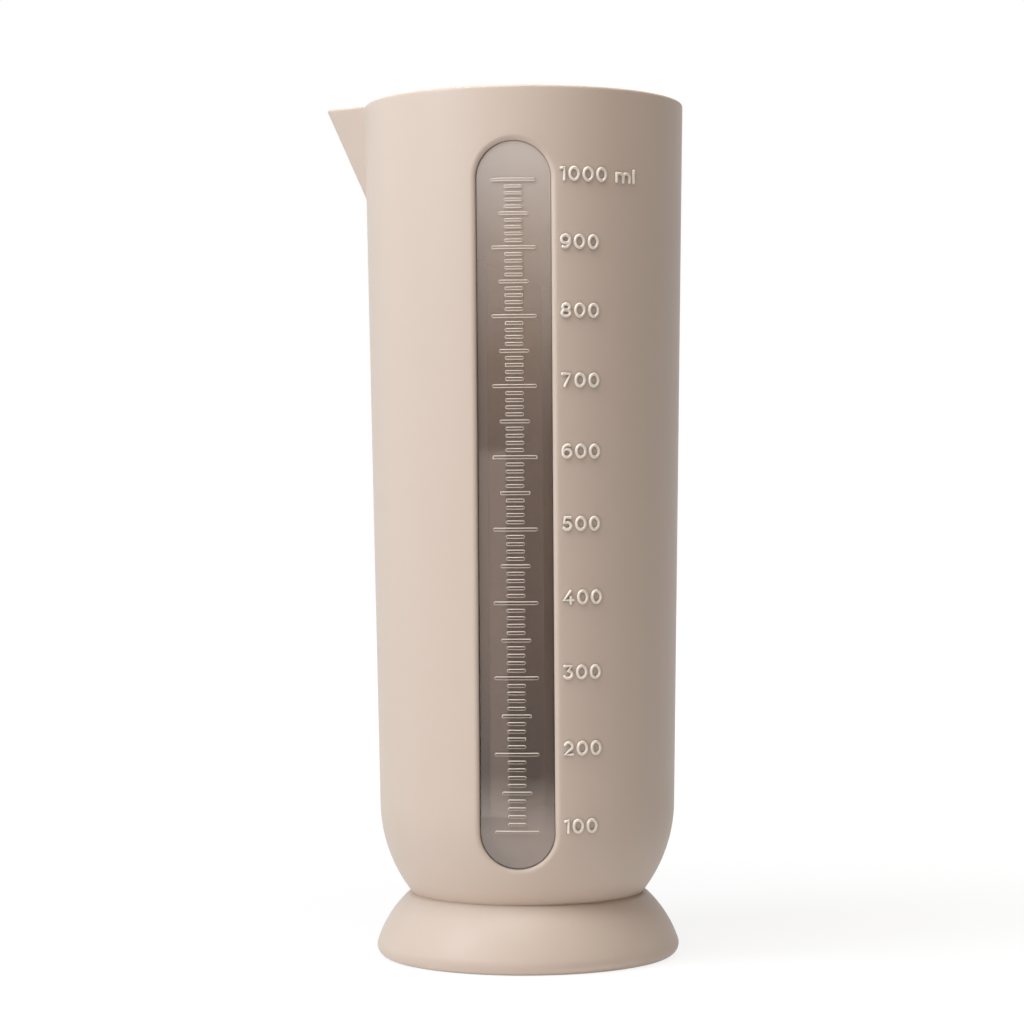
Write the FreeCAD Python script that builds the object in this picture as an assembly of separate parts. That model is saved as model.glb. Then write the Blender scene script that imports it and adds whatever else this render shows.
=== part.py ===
import FreeCAD, Part
import math
import os
from FreeCAD import Vector

# Measuring pitcher for mixing baby formula: a tall opaque jug with a rounded bottom and a pinched
# spout, a clear graduated sight strip bonded into its wall, and a flared foot ring welded round
# the rounded bottom. Sizes are millimetres.
#
# Frame: the origin is the centre of the foot's underside, +Z runs up the jug's axis, the spout
# points to -X and the sight strip faces -Y.

# ---- Driving dimensions -------------------------------------------------------------------------

# Jug wall
RIM_HEIGHT = 238.5            # rim above the surface that the foot stands on
RIM_RADIUS = 44.8             # outside of the wall at the rim
RIM_WALL = 2.0                # wall thickness at the rim
RIM_ROUNDING = 0.7            # rounding of the rim's two edges
BOWL_RADIUS = 41.4            # outside of the rounded bottom
BOWL_WALL = 2.4               # wall thickness of the rounded bottom
BOWL_LIFT = 2.1               # rounded bottom above the surface that the foot stands on

# Pouring spout
SPOUT_REACH = 12.2            # unrounded tip beyond the wall, at the rim
SPOUT_HALF_WIDTH = 7.8        # half the spout's width where it leaves the wall, at the rim
SPOUT_DROP = 28.7             # rim down to the point where the keel leaves the wall
SPOUT_WALL = 1.8              # thickness of the spout's two sides
KEEL_ROUNDING = 1.2           # rounding of the edge that runs down from the tip

# Sight window in the wall
WINDOW_BOTTOM = 28.4          # lowest point of the opening
WINDOW_DROP = 14.8            # rim down to the highest point of the opening
WINDOW_WIDTH = 20.0           # opening in the wall, between its straight sides
WINDOW_ROLL = 1.75            # radius of the rolled outer edge round the opening
LEDGE_REACH = 2.6             # how far the ledge reaches in behind the strip's border
LEDGE_THICKNESS = 1.0         # thickness of the ledge that the strip's border seats on
FRAME_MARGIN = 2.4            # border of the thickened frame inside the jug, past the opening

# Clear strip
STRIP_RECESS = 1.1            # strip's face below the wall's outer face
STRIP_THICKNESS = 1.5         # strip's border, in front of the ledge
STRIP_GAP = 0.1               # bond line round the strip's edges

# Graduations on the strip
MARK_STEP_ML = 10
FIRST_MARK_ML = 100
LAST_MARK_ML = 1000
MARK_HEIGHT = 1.15            # bar, measured up the strip
MARK_RAISE = 0.4              # bar proud of the strip's face
MINOR_MARK_LENGTH = 5.0       # every 10 ml
MIDDLE_MARK_LENGTH = 8.1      # every 50 ml
MAJOR_MARK_LENGTH = 12.0      # every 100 ml
MARK_FOOTROOM = 8.0           # least height of a mark above the opening's lowest point
MARK_HEADROOM = 10.0          # least height of the opening's highest point above a mark

# Foot ring
FOOT_RADIUS = 42.6            # widest point of the flare
FOOT_HEIGHT = 17.8            # top of the lip that meets the rounded bottom
LIP_WIDTH = 0.9               # lip's flat top, from the rounded bottom out
FLARE_RADIUS = 32.0           # radius of the flare's bulge, in section
FOOT_EDGE_ROUNDING = 3.2      # rounding of the flare's lower edge, and the height of its widest point
FOOT_WALL = 2.2               # thickness of the flare
BASE_WIDTH = 2.0              # flat ring that the foot stands on
BASE_HEIGHT = 3.0             # height of the thickened ring round the flare's lower edge
LIP_ROUNDING = 0.4            # rounding of the lip's upper edge

# Collar inside the foot ring, which holds the rounded bottom
SEAT_GAP = 0.1                # collar to rounded bottom
COLLAR_REACH = 5.7            # how far the collar reaches in under the rounded bottom, from the neck
COLLAR_WALL = 2.0
TONGUE_RADIUS = 0.6           # section of the weld tongue
TONGUE_CLEARANCE = 0.1        # tongue to groove
RIB_COUNT = 8
RIB_THICKNESS = 1.6
RIB_LIFT = 3.2                # ribs' lower edge above the surface that the foot stands on

# ---- Sizes that follow from them ----------------------------------------------------------------

BOWL_CENTRE = BOWL_LIFT + BOWL_RADIUS            # height of the rounded bottom's centre
WINDOW_TOP = RIM_HEIGHT - WINDOW_DROP            # highest point of the opening
SEAT_DEPTH = STRIP_RECESS + STRIP_THICKNESS      # wall's outer face down to the ledge
FRAME_DEPTH = SEAT_DEPTH + LEDGE_THICKNESS       # wall's outer face through to the frame's inside

# ---- Working values -----------------------------------------------------------------------------

OVERRUN = 5.0                 # how far a cutting tool runs past what it cuts
SAME = 0.01                   # two places nearer to each other than this are one
SLICE_HEIGHT = 0.1            # slices that the jug's volume is added up in
MILLILITRE = 1000.0           # cubic millimetres
ROLL_SHARE = 0.7              # most of the opening's depth that its rolled edge takes
RIM_SHARE = 0.42              # most of the wall that each of the rim's two roundings takes
LIP_SHARE = 0.8               # most of the lip's width that its rounding takes

AXIS = Vector(0, 0, 1)
ORIGIN = Vector(0, 0, 0)


def section(radius, height):
    """A point of a turned outline. Outlines lie in the YZ plane, so their seams are at the back."""
    return Vector(0, radius, height)


def turned(edges):
    """Solid of revolution of a closed outline."""
    return Part.Face(Part.Wire(edges)).revolve(ORIGIN, AXIS, 360)


# ---- The jug's form: a ball below, a cone tangent to it above ------------------------------------

def tangent_point(rim_radius, ball_radius):
    """Radius and height at which the straight wall leaves the rounded bottom."""
    rise = RIM_HEIGHT - BOWL_CENTRE
    distance = math.hypot(rim_radius, rise)
    angle = math.atan2(rise, rim_radius) - math.acos(ball_radius / distance)
    return ball_radius * math.cos(angle), BOWL_CENTRE + ball_radius * math.sin(angle)


def form_radius(height, rim_radius, ball_radius):
    wall_r, wall_z = tangent_point(rim_radius, ball_radius)
    if height >= wall_z:
        return wall_r + (rim_radius - wall_r) * (height - wall_z) / (RIM_HEIGHT - wall_z)
    return math.sqrt(max(ball_radius ** 2 - (height - BOWL_CENTRE) ** 2, 0.0))


def jug_form(rim_radius, ball_radius, top=RIM_HEIGHT):
    """Solid of the form, up to a height."""
    slant = ball_radius * math.sqrt(0.5)
    bottom = section(0, BOWL_CENTRE - ball_radius)
    wall_foot = section(*tangent_point(rim_radius, ball_radius))
    wall_top = section(form_radius(top, rim_radius, ball_radius), top)
    middle = section(0, top)
    return turned([
        Part.Arc(bottom, section(slant, BOWL_CENTRE - slant), wall_foot).toShape(),
        Part.makeLine(wall_foot, wall_top),
        Part.makeLine(wall_top, middle),
        Part.makeLine(middle, bottom),
    ])


def form_below(depth):
    """The form at a depth below the jug's outer face, run past the rim."""
    return jug_form(RIM_RADIUS - depth, BOWL_RADIUS - depth, RIM_HEIGHT + OVERRUN)


# ---- Bars through the jug's front wall -----------------------------------------------------------

def slot_bar(start, end, radius):
    """Bar along Y with a slot-shaped section, between two (x, z) centres, through the front wall."""
    front = -(RIM_RADIUS + OVERRUN)
    a = Vector(start[0], front, start[1])
    b = Vector(end[0], front, end[1])
    along = (b - a).normalize() * radius
    side = Vector(along.z, 0, -along.x)
    outline = [
        Part.makeLine(a + side, b + side),
        Part.Arc(b + side, b + along, b - side).toShape(),
        Part.makeLine(b - side, a - side),
        Part.Arc(a - side, a - along, a + side).toShape(),
    ]
    return Part.Face(Part.Wire(outline)).extrude(Vector(0, RIM_RADIUS, 0))


def window_bar(inset):
    """Bar of the window's outline, moved in by an inset or, below zero, out."""
    radius = WINDOW_WIDTH / 2
    return slot_bar((0, WINDOW_BOTTOM + radius), (0, WINDOW_TOP - radius), radius - inset)


# ---- Pouring spout -------------------------------------------------------------------------------

def spout_wedge(inward, top):
    """Wedge of the spout, moved along X by a shift inward and cut off at a height."""
    lift = top - RIM_HEIGHT
    crease_x = -math.sqrt(RIM_RADIUS ** 2 - SPOUT_HALF_WIDTH ** 2)
    tip_x = -(RIM_RADIUS + SPOUT_REACH)
    keel_foot_z = RIM_HEIGHT - SPOUT_DROP
    keel_foot_x = -form_radius(keel_foot_z, RIM_RADIUS, BOWL_RADIUS)
    keel_slope = (keel_foot_x - tip_x) / SPOUT_DROP
    side_slope = SPOUT_HALF_WIDTH / (crease_x - tip_x)

    tip = Vector(tip_x - keel_slope * lift + inward, 0, top)
    reach = RIM_RADIUS / 2
    back_x = tip.x + reach
    corners = [Vector(back_x, side_slope * reach, top), Vector(back_x, -side_slope * reach, top)]
    keel_end = Vector(back_x, 0, top - reach / keel_slope)
    faces = [
        [tip, corners[0], corners[1]],
        [tip, keel_end, corners[0]],
        [tip, corners[1], keel_end],
        [corners[0], keel_end, corners[1]],
    ]
    shell = Part.Shell([Part.Face(Part.makePolygon(face + face[:1])) for face in faces])
    return Part.Solid(shell)


def spout_shift():
    """How far the wedge moves inward so that the spout's sides have their thickness."""
    crease_x = math.sqrt(RIM_RADIUS ** 2 - SPOUT_HALF_WIDTH ** 2)
    keel_foot_x = form_radius(RIM_HEIGHT - SPOUT_DROP, RIM_RADIUS, BOWL_RADIUS)
    tip_x = RIM_RADIUS + SPOUT_REACH
    side = Vector(tip_x - crease_x, SPOUT_HALF_WIDTH, 0)
    keel = Vector(tip_x - keel_foot_x, 0, -SPOUT_DROP)
    normal = side.cross(keel).normalize()
    return SPOUT_WALL / abs(normal.x)


# ---- Capacity and the marks ----------------------------------------------------------------------

def cavity_area(height):
    """Level area of the liquid at a height, less the window frame that stands into the jug."""
    radius = form_radius(height, RIM_RADIUS - RIM_WALL, BOWL_RADIUS - BOWL_WALL)
    wall = form_radius(height, RIM_RADIUS, BOWL_RADIUS) - radius
    area = math.pi * radius ** 2
    if WINDOW_BOTTOM < height < WINDOW_TOP:
        area -= (WINDOW_WIDTH + 2 * FRAME_MARGIN) * max(FRAME_DEPTH - wall, 0.0)
    return area


def mark_heights():
    """Height of the liquid at every mark that the strip has room for, as (millilitres, height)."""
    height = BOWL_CENTRE - BOWL_RADIUS + BOWL_WALL
    volume = 0.0
    marks = []
    millilitres = FIRST_MARK_ML
    while millilitres <= LAST_MARK_ML and height < WINDOW_TOP - MARK_HEADROOM:
        step = cavity_area(height + SLICE_HEIGHT / 2) * SLICE_HEIGHT / MILLILITRE
        while volume + step >= millilitres and millilitres <= LAST_MARK_ML:
            level = height + SLICE_HEIGHT * (millilitres - volume) / step
            if level >= WINDOW_BOTTOM + MARK_FOOTROOM:
                marks.append((millilitres, level))
            millilitres += MARK_STEP_ML
        volume += step
        height += SLICE_HEIGHT
    return marks


def mark_length(millilitres):
    if millilitres % 100 == 0:
        return MAJOR_MARK_LENGTH
    if millilitres % 50 == 0:
        return MIDDLE_MARK_LENGTH
    return MINOR_MARK_LENGTH


# ---- Pieces --------------------------------------------------------------------------------------

def level_edges(shape, height):
    """Edges that lie flat at a height."""
    found = []
    for edge in shape.Edges:
        box = edge.BoundBox
        if abs(box.ZMin - height) < SAME and abs(box.ZMax - height) < SAME:
            found.append(edge)
    return found


def level_circles(shape, height, radius):
    """Level round edges about the axis, by height and radius."""
    return [edge for edge in level_edges(shape, height) if abs(edge.BoundBox.XMax - radius) < SAME]


def edges_round_window(shape):
    """Edges where the window's opening breaks through the jug's outer face."""
    half = WINDOW_WIDTH / 2 + SAME
    found = []
    for edge in shape.Edges:
        box = edge.BoundBox
        middle = edge.valueAt((edge.FirstParameter + edge.LastParameter) / 2)
        outside = form_radius(middle.z, RIM_RADIUS, BOWL_RADIUS)
        on_face = abs(math.hypot(middle.x, middle.y) - outside) < SAME
        in_front = box.YMax < 0 and box.XMin > -half and box.XMax < half
        in_height = WINDOW_BOTTOM - SAME < box.ZMin and box.ZMax < WINDOW_TOP + SAME
        if on_face and in_front and in_height:
            found.append(edge)
    return found


def keel_edges(shape):
    """The edge that runs down the spout from its tip."""
    found = []
    for edge in shape.Edges:
        box = edge.BoundBox
        from_tip = box.XMin < SAME - RIM_RADIUS - SPOUT_REACH
        if from_tip and box.YLength < SAME and box.ZLength > SAME:
            found.append(edge)
    return found


def neck_radius():
    """Radius of the rounded bottom at the height of the foot's lip."""
    return math.sqrt(BOWL_RADIUS ** 2 - (BOWL_CENTRE - FOOT_HEIGHT) ** 2)


def collar_inner_radius():
    return neck_radius() - COLLAR_REACH


def weld_ring(radius):
    """Ring of round section, half sunk in the rounded bottom's outer face, midway on the collar."""
    ring_radius = (neck_radius() + collar_inner_radius()) / 2
    height = BOWL_CENTRE - math.sqrt(BOWL_RADIUS ** 2 - ring_radius ** 2)
    return Part.makeTorus(ring_radius, radius, Vector(0, 0, height), AXIS)


def make_vessel():
    body = jug_form(RIM_RADIUS, BOWL_RADIUS).fuse(spout_wedge(0, RIM_HEIGHT))
    body = body.makeFillet(KEEL_ROUNDING, keel_edges(body))

    frame = window_bar(-FRAME_MARGIN).cut(form_below(FRAME_DEPTH))
    over_rim = RIM_HEIGHT + OVERRUN
    cavity = jug_form(RIM_RADIUS - RIM_WALL, BOWL_RADIUS - BOWL_WALL, over_rim).cut(frame)
    cavity = cavity.fuse(spout_wedge(spout_shift(), over_rim))
    body = body.cut(cavity)

    body = body.cut(window_bar(0).cut(form_below(SEAT_DEPTH)))
    body = body.cut(window_bar(LEDGE_REACH))
    body = body.cut(weld_ring(TONGUE_RADIUS + TONGUE_CLEARANCE))
    # Each rounding is limited by the wall that it runs on
    roll = min(WINDOW_ROLL, ROLL_SHARE * SEAT_DEPTH)
    body = body.makeFillet(roll, edges_round_window(body))
    rounding = min(RIM_ROUNDING, RIM_SHARE * min(RIM_WALL, SPOUT_WALL))
    return body.makeFillet(rounding, level_edges(body, RIM_HEIGHT))


def make_sight_strip():
    front = form_below(STRIP_RECESS)
    border = window_bar(STRIP_GAP).common(front).cut(form_below(SEAT_DEPTH))
    core = window_bar(LEDGE_REACH + STRIP_GAP).common(front).cut(form_below(FRAME_DEPTH))
    root_depth = STRIP_RECESS + STRIP_THICKNESS / 2
    mark_layer = form_below(STRIP_RECESS - MARK_RAISE).cut(form_below(root_depth))
    bars = []
    for millilitres, height in mark_heights():
        half = (mark_length(millilitres) - MARK_HEIGHT) / 2
        bars.append(slot_bar((-half, height), (half, height), MARK_HEIGHT / 2))
    marks = Part.makeCompound(bars).common(mark_layer)
    return border.fuse(core).fuse(marks.Solids)


def flare_centre():
    """Centre (radius, height) of the flare's bulge: an arc from the lip down to the widest point."""
    lip = neck_radius() + LIP_WIDTH
    half_r = (FOOT_RADIUS - lip) / 2
    half_z = (FOOT_EDGE_ROUNDING - FOOT_HEIGHT) / 2
    half_chord = math.hypot(half_r, half_z)
    sagitta_arm = math.sqrt(FLARE_RADIUS ** 2 - half_chord ** 2) / half_chord
    return lip + half_r + half_z * sagitta_arm, FOOT_HEIGHT + half_z - half_r * sagitta_arm


def flare_radius_at(height, depth=0.0):
    """Radius of the flare's outer face, or of a face a depth inside it."""
    centre_r, centre_z = flare_centre()
    return centre_r + math.sqrt((FLARE_RADIUS - depth) ** 2 - (height - centre_z) ** 2)


def standing_radius():
    """Outer radius of the flat that the foot stands on, where the lower edge's rounding starts."""
    centre_r, centre_z = flare_centre()
    reach = FLARE_RADIUS - FOOT_EDGE_ROUNDING
    return centre_r + math.sqrt(reach ** 2 - (FOOT_EDGE_ROUNDING - centre_z) ** 2)


def flare_form():
    """Solid under the flare, from the standing surface to the lip, with its lower edge rounded."""
    edge_centre = section(standing_radius(), FOOT_EDGE_ROUNDING)
    outward = (edge_centre - section(*flare_centre())).normalize()
    halfway = (outward - AXIS).normalize()
    edge_start = section(standing_radius(), 0)
    edge_middle = edge_centre + halfway * FOOT_EDGE_ROUNDING
    edge_end = edge_centre + outward * FOOT_EDGE_ROUNDING
    middle_height = (edge_end.z + FOOT_HEIGHT) / 2
    flare_middle = section(flare_radius_at(middle_height), middle_height)
    lip = section(flare_radius_at(FOOT_HEIGHT), FOOT_HEIGHT)
    top = section(0, FOOT_HEIGHT)
    return turned([
        Part.makeLine(ORIGIN, edge_start),
        Part.Arc(edge_start, edge_middle, edge_end).toShape(),
        Part.Arc(edge_end, flare_middle, lip).toShape(),
        Part.makeLine(lip, top),
        Part.makeLine(top, ORIGIN),
    ])


def inside_flare():
    """Solid inside the flare's wall, from the standing surface to the lip."""
    heights = (0, FOOT_HEIGHT / 2, FOOT_HEIGHT)
    points = [section(flare_radius_at(height, FOOT_WALL), height) for height in heights]
    top = section(0, FOOT_HEIGHT)
    return turned([
        Part.makeLine(ORIGIN, points[0]),
        Part.Arc(*points).toShape(),
        Part.makeLine(points[2], top),
        Part.makeLine(top, ORIGIN),
    ])


def ball(radius):
    return Part.makeSphere(radius, Vector(0, 0, BOWL_CENTRE))


def ring(inner, outer, bottom, top):
    """Plain ring round the axis."""
    height = top - bottom
    base = Vector(0, 0, bottom)
    return Part.makeCylinder(outer, height, base, AXIS).cut(Part.makeCylinder(inner, height, base, AXIS))


def make_foot_ring():
    seat = BOWL_RADIUS + SEAT_GAP
    skirt = flare_form().cut(inside_flare())
    base = ring(standing_radius() - BASE_WIDTH, flare_radius_at(0), 0, BASE_HEIGHT)
    collar = ball(seat + COLLAR_WALL).common(ring(collar_inner_radius(), FOOT_RADIUS, 0, FOOT_HEIGHT))
    web = Part.makeBox(
        flare_radius_at(0) - collar_inner_radius(),
        RIB_THICKNESS,
        FOOT_HEIGHT - RIB_LIFT,
        Vector(collar_inner_radius(), -RIB_THICKNESS / 2, RIB_LIFT),
    )
    ribs = []
    for index in range(RIB_COUNT):
        rib = web.copy()
        rib.rotate(ORIGIN, AXIS, 360 * (index + 0.5) / RIB_COUNT)
        ribs.append(rib)
    solid = skirt.fuse([base, collar] + ribs).common(flare_form()).cut(ball(seat))
    solid = solid.fuse(weld_ring(TONGUE_RADIUS)).removeSplitter()
    lip_edge = level_circles(solid, FOOT_HEIGHT, flare_radius_at(FOOT_HEIGHT))
    return solid.makeFillet(min(LIP_ROUNDING, LIP_SHARE * LIP_WIDTH), lip_edge)


def main():
    os.makedirs("parts", exist_ok=True)
    pieces = {
        "vessel": make_vessel(),
        "sight_strip": make_sight_strip(),
        "foot_ring": make_foot_ring(),
    }
    for name, shape in pieces.items():
        print(name, shape.isValid(), len(shape.Solids), round(shape.Volume, 1), shape.BoundBox)
        shape.exportStep("parts/%s.step" % name)


main()
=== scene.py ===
import math
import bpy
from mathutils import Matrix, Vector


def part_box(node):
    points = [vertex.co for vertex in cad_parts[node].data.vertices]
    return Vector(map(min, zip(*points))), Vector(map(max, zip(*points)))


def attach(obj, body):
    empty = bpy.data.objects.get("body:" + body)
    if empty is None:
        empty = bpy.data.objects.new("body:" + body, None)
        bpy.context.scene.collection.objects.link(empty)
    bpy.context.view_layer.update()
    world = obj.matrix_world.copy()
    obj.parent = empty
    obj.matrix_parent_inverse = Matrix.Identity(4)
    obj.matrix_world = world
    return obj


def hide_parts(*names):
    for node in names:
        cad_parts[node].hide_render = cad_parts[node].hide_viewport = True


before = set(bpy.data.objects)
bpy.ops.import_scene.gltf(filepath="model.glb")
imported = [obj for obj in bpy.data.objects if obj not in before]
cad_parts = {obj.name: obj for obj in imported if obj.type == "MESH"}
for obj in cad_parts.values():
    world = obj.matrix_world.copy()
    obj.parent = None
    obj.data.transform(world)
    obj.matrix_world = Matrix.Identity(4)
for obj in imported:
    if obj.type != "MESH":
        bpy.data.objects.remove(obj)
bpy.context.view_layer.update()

from types import SimpleNamespace

import bmesh
import bpy
from bpy.props import FloatProperty, FloatVectorProperty, IntProperty, PointerProperty
from mathutils import Matrix, Vector

bl_info = {
    "name": "Formula pitcher",
    "version": (1, 0, 0),
    "blender": (4, 5, 0),
    "location": "View3D > Sidebar > Pitcher",
    "description": "Models a moulded measuring pitcher with a clear sight strip, figures and a foot ring",
    "category": "Object",
}

# The frame: the foot stands at Z 0 on the jug's axis, the spout points to -X and the strip faces -Y.
# Jug pieces are modelled flat, as a sheet that is then wrapped round the jug. On the sheet X runs
# round the jug from the strip's middle, Y runs up it, and Z is the level: 0 at the outer face and
# less than 0 below it.

MM = 0.001
VESSEL_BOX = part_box("vessel")
STRIP_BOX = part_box("sight_strip")
FOOT_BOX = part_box("foot_ring")

STRIP_GAP = 0.1 * MM            # bond line round the strip
BOND_LINE = 0.02 * MM           # what shows of that line once the bond fills it
SEAT_CLEAR = 0.04 * MM          # between the strip's border and the ledge
SEAT_GAP = 0.02 * MM            # foot's collar to the rounded bottom, drawn closed as the weld closes it
RIM_HEIGHT = VESSEL_BOX[1].z
RIM_RADIUS = VESSEL_BOX[1].x
BOWL_LIFT = VESSEL_BOX[0].z
WINDOW_LOW = STRIP_BOX[0].z - STRIP_GAP
WINDOW_HIGH = STRIP_BOX[1].z + STRIP_GAP
WINDOW_HALF = STRIP_BOX[1].x + STRIP_GAP
FOOT_HEIGHT = FOOT_BOX[1].z

# Resolution of the sheet that becomes the jug's wall
SHEET_PER_DEGREE = 0.75 * MM    # sheet width of one degree round the jug
PANEL_HALF = 14.0 * MM          # half the front panel that holds the window
PANEL_BLEND = 36.0 * MM         # beyond this the sheet's columns stand at fixed angles
PANEL_COLUMNS = 16
PANEL_LOW = 25.0 * MM           # the front panel's foot, on the rounded bottom
PANEL_HIGH = 229.0 * MM
PANEL_END_ROWS = 20             # rows between the panel's ends and the window's round ends
POLE = -20.0 * MM               # sheet height of the rounded bottom's pole
SPOUT_AT = -90.0                # degrees round the jug from the strip to the spout
SPOUT_SPAN = 14.0               # degrees on each side of the spout that have close columns
CLOSE = 1e-7                    # metres, for telling places on the sheet apart


# ---- Sizes and colours that a user would change --------------------------------------------------

def length(name, text, millimetres):
    return FloatProperty(name=name, description=text, default=millimetres * MM, unit="LENGTH", precision=5)


def colour(name, text, code):
    return FloatVectorProperty(
        name=name, description=text, default=linear(code), size=4, subtype="COLOR", min=0, max=1,
    )


def linear(code):
    """An sRGB hex colour as linear red, green, blue and alpha."""
    values = [int(code[i:i + 2], 16) / 255 for i in (1, 3, 5)]
    return [v / 12.92 if v <= 0.04045 else ((v + 0.055) / 1.055) ** 2.4 for v in values] + [1.0]


class PitcherSizes(bpy.types.PropertyGroup):
    bowl_radius: length("Bottom radius", "Outside of the rounded bottom", 41.4)
    rim_wall: length("Rim wall", "Wall thickness at the rim", 2.0)
    bowl_wall: length("Bottom wall", "Wall thickness of the rounded bottom", 2.4)
    rim_rounding: length("Rim rounding", "Rounding of the rim's two edges", 0.7)
    spout_reach: length("Spout reach", "Unrounded tip beyond the wall, at the rim", 12.15)
    spout_half: length("Spout half width", "Half the spout's width where it leaves the wall", 7.8)
    spout_drop: length("Spout drop", "Rim down to where the keel leaves the wall", 28.7)
    spout_wall: length("Spout wall", "Thickness of the spout's sides", 1.8)
    keel_rounding: length("Keel rounding", "Rounding of the edge below the tip", 1.2)
    channel_rounding: length("Channel rounding", "Rounding of the spout's channel", 0.5)
    crease_blend: length("Crease blend", "Softness of the crease beside the spout", 0.62)
    keel_blend: length("Keel blend", "Softness of the bend where the keel leaves the wall", 2.2)
    roll: length("Window roll", "Radius of the rolled edge round the window", 1.75)
    seat_depth: length("Seat depth", "Outer face down to the ledge that the strip seats on", 2.6)
    ledge_reach: length("Ledge reach", "How far the ledge reaches in behind the strip", 2.6)
    ledge_thickness: length("Ledge thickness", "Thickness of the ledge", 1.0)
    frame_margin: length("Frame margin", "Border of the thickened frame inside the jug", 2.4)
    strip_recess: length("Strip recess", "Strip's face below the wall's outer face", 1.1)
    mark_height: length("Mark height", "Height of a mark", 1.0)
    mark_raise: length("Mark raise", "How far a mark stands proud", 0.4)
    figure_height: length("Figure height", "Height of a figure", 4.1)
    stroke_width: length("Stroke width", "Width of a figure's stroke at its foot", 0.88)
    stroke_raise: length("Stroke raise", "How far a figure stands proud", 0.6)
    figure_left: length("Figures' left edge", "Left edge of the figures from the strip's middle", 12.4)
    foot_radius: length("Foot radius", "Widest point of the foot's flare", 42.6)
    foot_wall: length("Foot wall", "Thickness of the foot's flare", 2.2)
    flare_radius: length("Flare radius", "Radius of the flare's bulge, in section", 32.0)
    lip_width: length("Lip width", "Width of the foot's lip", 0.9)
    lip_fall: length("Lip fall", "How far the lip's top falls from the jug to its outer edge", 0.35)
    lip_rounding: length("Lip rounding", "Rounding of the foot's lip", 0.35)
    foot_rounding: length("Foot rounding", "Rounding of the foot's lower edge", 3.2)
    base_width: length("Base width", "Flat ring that the foot stands on", 2.0)
    base_height: length("Base height", "Height of the thickened ring at the foot's edge", 3.0)
    collar_reach: length("Collar reach", "How far the collar reaches in from the neck", 5.7)
    collar_wall: length("Collar wall", "Thickness of the foot's collar", 2.0)
    rib_thickness: length("Rib thickness", "Thickness of a rib under the foot", 1.6)
    rib_lift: length("Rib lift", "Ribs' lower edge above the standing surface", 3.2)
    rib_count: IntProperty(name="Ribs", description="Number of ribs under the foot", default=8, min=3, max=24)


class PitcherColours(bpy.types.PropertyGroup):
    body: colour("Jug", "Moulded polypropylene of the jug and foot", "#D8C5B6")
    # Painted light: the figures are the jug's own plastic, given this near-white colour so that they look lit
    figures: colour("Figures", "Lighter polypropylene of the figures", "#F8ECE0")
    # Painted light: mixed in at the strip's ends to make them lighter, standing in for light that reaches
    # them
    painted_end_light: colour("Haze", "Milky haze at the strip's ends", "#DFCFC4")
    clear: colour("Strip", "Clear copolyester of the sight strip", "#EAD8C9")
    floor: colour("Floor", "Floor and backdrop", "#FFFFFF")


# ---- Working with meshes in edit mode ------------------------------------------------------------

def pick(*pieces):
    """Selects the given objects and nothing else. The first becomes the active one."""
    bpy.ops.object.select_all(action="DESELECT")
    for piece in reversed(pieces):
        piece.select_set(True)
        bpy.context.view_layer.objects.active = piece


def join(pieces):
    pick(*pieces)
    bpy.ops.object.join()
    return bpy.context.object


def edit(piece):
    """Selects one object alone and opens it in edit mode."""
    pick(piece)
    bpy.ops.object.mode_set(mode="EDIT")


def leave_edit():
    bpy.ops.object.mode_set(mode="OBJECT")


def take_all():
    """In edit mode, selects the whole mesh."""
    bpy.ops.mesh.select_all(action="SELECT")


def choose(piece, kind, test):
    """In edit mode, selects the vertices, edges or faces that pass a test, and nothing else."""
    bpy.context.tool_settings.mesh_select_mode = [kind == k for k in ("verts", "edges", "faces")]
    mesh = bmesh.from_edit_mesh(piece.data)
    for part in (*mesh.verts, *mesh.edges, *mesh.faces):
        part.select = False
    for part in getattr(mesh, kind):
        if test(part):
            part.select_set(True)
    mesh.select_flush_mode()
    bmesh.update_edit_mesh(piece.data)


def middle(edge):
    return (edge.verts[0].co + edge.verts[1].co) / 2


def extrude_rings(piece, place, rings):
    """Extrudes the selected loop once for each ring. The place function says where a vertex of the
    first loop goes, from where it started and the ring's own values."""
    mesh = bmesh.from_edit_mesh(piece.data)
    first = {tuple(v.co): v.co.copy() for v in mesh.verts if v.select}
    for ring in rings:
        bpy.ops.mesh.extrude_region_move()
        mesh = bmesh.from_edit_mesh(piece.data)
        moved = {}
        for vertex in mesh.verts:
            if vertex.select:
                start = first[tuple(vertex.co)]
                vertex.co = place(start, *ring)
                moved[tuple(vertex.co)] = start
        first = moved
        bmesh.update_edit_mesh(piece.data)


def reshape(piece, place):
    """Moves every vertex of a finished sheet to its place on the object."""
    for vertex in piece.data.vertices:
        vertex.co = place(*vertex.co)
    piece.data.update()


def close_up(piece, gap=2e-6):
    """Merges the vertices that meet and turns the faces outward."""
    edit(piece)
    take_all()
    bpy.ops.mesh.remove_doubles(threshold=gap)
    bpy.ops.mesh.normals_make_consistent(inside=False)
    leave_edit()


def finish_piece(piece, name, material, nodes=(), smooth_angle=35.0):
    """Names a piece and ties it to the frame. Without a material it keeps those it has."""
    piece.name = name
    piece.data.name = name
    pick(piece)
    bpy.ops.object.transform_apply(location=True, rotation=True, scale=True)
    bpy.ops.object.shade_smooth_by_angle(angle=math.radians(smooth_angle))
    if material:
        piece.data.materials.append(bpy.data.materials[material])
    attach(piece, "root")
    if nodes:
        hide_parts(*nodes)
    return piece


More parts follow.
